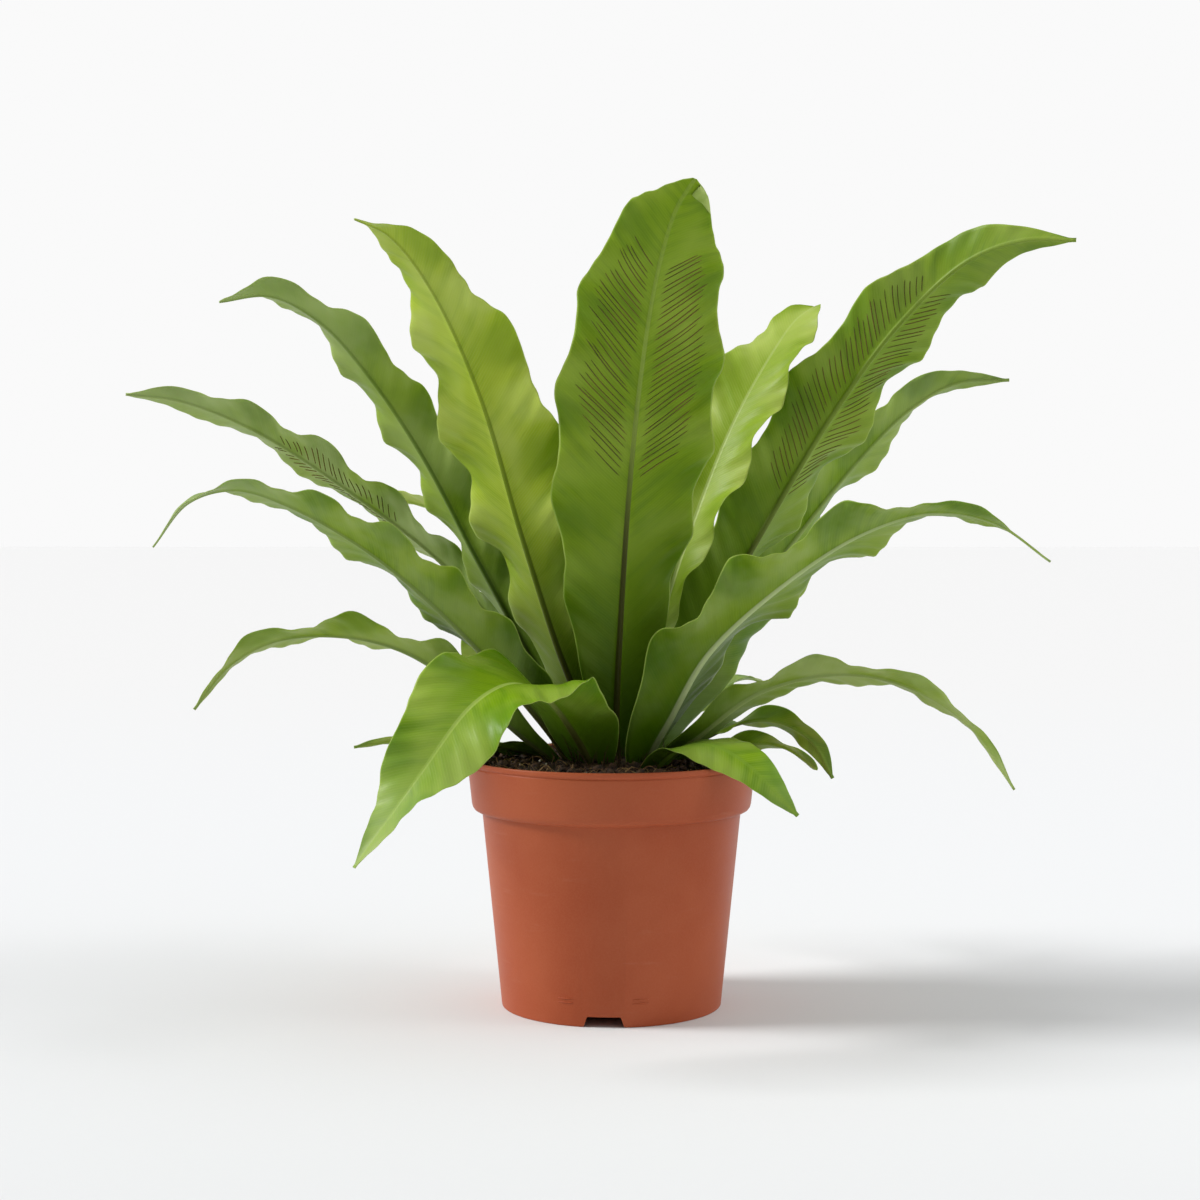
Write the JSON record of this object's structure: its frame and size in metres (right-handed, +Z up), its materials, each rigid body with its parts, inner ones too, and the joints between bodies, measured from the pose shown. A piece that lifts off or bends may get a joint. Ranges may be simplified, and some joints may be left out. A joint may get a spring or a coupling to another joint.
{
  "type": "potted bird's nest fern",
  "caption": "Bird's nest fern with long waved strap fronds rising from a crown in potting mix, in a round plastic nursery pot that stands on a flat surface.",
  "frame": {"origin": "middle of the flat pad under the pot, on the surface that it stands on", "axes": "+Z up along the pot's axis, -Y towards the front, +X to the right seen from the front"},
  "size_m": [0.3823, 0.2667, 0.3233],
  "materials": {
    "pot": "terracotta-coloured plastic, slight sheen",
    "soil": "loose brown potting mix, rough",
    "crown": "scaly brown rhizome, rough",
    "leaf_green": "leathery mid-green leaf, satin",
    "leaf_pale": "leathery yellow-green leaf, satin",
    "leaf_bright": "leathery bright green leaf, glossy upper side"
  },
  "bodies": {
    "root": {"pot": "pot", "soil": "soil", "crown": "crown", "frond_01": "leaf_green", "frond_02": "leaf_pale", "frond_03": "leaf_green", "frond_04": "leaf_green", "frond_05": "leaf_green", "frond_06": "leaf_green", "frond_07": "leaf_bright", "frond_08": "leaf_green", "frond_09": "leaf_pale", "frond_10": "leaf_green", "frond_11": "leaf_green", "frond_12": "leaf_green", "frond_13": "leaf_green", "frond_14": "leaf_green", "frond_15": "leaf_green", "frond_16": "leaf_bright", "frond_17": "leaf_pale", "frond_18": "leaf_pale", "frond_19": "leaf_green", "frond_20": "leaf_green", "frond_21": "leaf_green", "frond_22": "leaf_green"}
  },
  "joints": []
}
